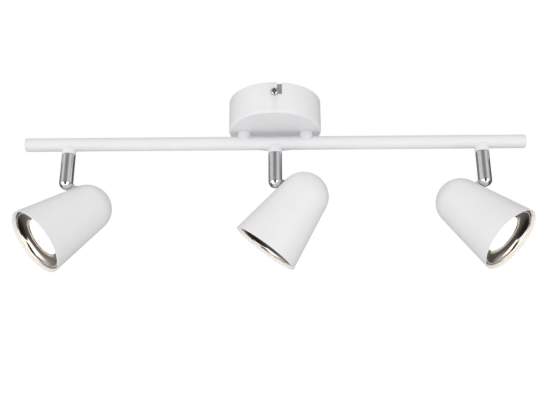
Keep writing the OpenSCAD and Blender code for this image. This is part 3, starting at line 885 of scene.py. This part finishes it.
# ---------------------------------------------------------------- studio
def backdrop():
    """A wide pale floor well below the light."""
    mesh = bpy.data.meshes.new("floor")
    corners = [(-1, -1), (1, -1), (1, 1), (-1, 1)]
    mesh.from_pydata([(x * FLOOR_REACH, y * FLOOR_REACH, FLOOR_Z) for x, y in corners], [],
                     [(0, 1, 2, 3)])
    floor = linked("floor", mesh)
    pale = Finish("pale_floor", Roughness=0.7)
    pale.set("Base Color", pale.ramp(pale.noise(2.0, 2), [(0.0, grey(0.80)), (1.0, grey(0.84))]))
    mesh.materials.append(pale.material)
    floor.visible_glossy = False
    floor.visible_diffuse = False


def by_angle(tree, angle, stops):
    """Grey levels through (degrees, level) stops, for an angle in degrees from -180 to 180."""
    share = tree.add("ShaderNodeMapRange", {"Value": angle, "From Min": -180.0, "From Max": 180.0})
    return tree.ramp(share, [((degrees + 180) / 360, grey(level)) for degrees, level in stops])


def mix_colour(tree, factor, a, b):
    """Colour mix; the node's colour sockets come after those of its other types."""
    node = tree.tree.nodes.new("ShaderNodeMix")
    node.data_type = "RGBA"
    tree.feed(node.inputs[0], factor)
    tree.feed(node.inputs[6], a)
    tree.feed(node.inputs[7], b)
    return node.outputs[2]


def polished_room(tree, turn, rise):
    """What polished metal sees: a room with a wide softbox in front, mostly below the horizon,
    and a dark gap in the middle of it."""
    walls = by_angle(tree, turn, [(-180, 0.20), (-115, 0.20), (-90, 0.36), (-68, 0.68),
                                  (-50, 0.70), (-34, 0.36), (-12, 0.24), (6, 0.24), (20, 0.36),
                                  (36, 0.68), (58, 0.66), (76, 0.40), (95, 0.10), (125, 0.10),
                                  (180, 0.20)])
    ground = by_angle(tree, rise, [(-90, 0.015), (-62, 0.03), (-45, 0.10), (-10, 0.18)])
    low = by_angle(tree, rise, [(-30, 1.0), (-8, 0.0)])
    room = mix_colour(tree, low, walls, ground)

    box_across = by_angle(tree, turn, [(-80, 0.0), (-64, 1.0), (52, 1.0), (58, 0.0)])
    box_upright = by_angle(tree, rise, [(-54, 0.0), (-50, 1.0), (-3, 1.0), (8, 0.0)])
    softbox = tree.math("MULTIPLY", box_across, box_upright)
    gap_across = by_angle(tree, turn, [(-23, 0.0), (-18, 1.0), (13, 1.0), (18, 0.0)])
    gap_upright = by_angle(tree, rise, [(-46, 0.0), (-38, 1.0), (6, 1.0), (14, 0.0)])
    dark_gap = tree.math("MULTIPLY", gap_across, gap_upright)
    room = mix_colour(tree, softbox, room, (*grey(SOFTBOX_LIGHT), 1))
    return mix_colour(tree, dark_gap, room, (*grey(GAP_LIGHT), 1))


def soft_light(tree, axis, to_front):
    """What everything else is lit by: white light from all round, stronger from the front, and
    a little stronger from below and from the left."""
    soft = tree.math("ADD", tree.math("MULTIPLY", to_front, FRONT_LIGHT), ALL_ROUND_LIGHT)
    soft = tree.math("ADD", soft, tree.math("MULTIPLY", axis["Z"], -LOW_LIGHT))
    return tree.math("ADD", soft, tree.math("MULTIPLY", axis["X"], -LEFT_LIGHT))


def studio_world():
    """Soft light for everything matt, a room for polished metal, and a white background."""
    world = bpy.data.worlds.new("studio")
    bpy.context.scene.world = world
    world.use_nodes = True
    tree = Tree(world.node_tree)
    world.node_tree.nodes.clear()
    ray = tree.add("ShaderNodeLightPath").node.outputs
    way = tree.add("ShaderNodeTexCoord", output="Generated")
    axis = tree.add("ShaderNodeSeparateXYZ", {0: way}).node.outputs
    to_front = tree.math("MULTIPLY", axis["Y"], -1.0)
    # degrees to the right of the front, and degrees above the horizon
    turn = tree.math("DEGREES", tree.math("ARCTAN2", axis["X"], to_front))
    rise = tree.math("DEGREES", tree.math("ARCSINE", axis["Z"]))

    lit = mix_colour(tree, ray["Is Glossy Ray"], soft_light(tree, axis, to_front),
                     polished_room(tree, turn, rise))
    seen = mix_colour(tree, ray["Is Camera Ray"], lit, (1, 1, 1, 1))
    glow = tree.add("ShaderNodeBackground", {"Color": seen, "Strength": 1.0})
    output = world.node_tree.nodes.new("ShaderNodeOutputWorld")
    world.node_tree.links.new(glow, output.inputs["Surface"])


def camera():
    """Stands in front of and below the light, looking up at it."""
    data = bpy.data.cameras.new("camera")
    data.sensor_width = 36.0
    data.lens = 52.32
    data.clip_start, data.clip_end = 0.01, 50.0
    eye = linked("camera", data)
    yaw, pitch, roll = (math.radians(a) for a in (-0.41, 20.44, -0.28))
    ahead = Vector((math.sin(yaw) * math.cos(pitch), math.cos(yaw) * math.cos(pitch),
                    math.sin(pitch)))
    level = Vector((math.cos(yaw), -math.sin(yaw), 0))
    up = level.cross(ahead)
    right = level * math.cos(roll) + up * math.sin(roll)
    up = up * math.cos(roll) - level * math.sin(roll)
    turn = Matrix((right, up, -ahead)).transposed().to_4x4()
    eye.matrix_world = Matrix.Translation((0.0043, -0.6506, -0.3414)) @ turn
    bpy.context.scene.camera = eye


# ---------------------------------------------------------------- the object
camera()
studio_world()
backdrop()
bpy.context.scene.view_settings.view_transform = "Standard"

finish_carried_over()
canopy()
cover_screws()
post("post_left", -POST_X)
post("post_right", POST_X)
bar()
end_cap("left", -1)
end_cap("right", 1)
for side in SIDES:
    collar(side)
    stem(side)
    pivot_pin(side)
    tilt_plate(side)
    shade(side)
    reflector(side)
    diffuser(side)
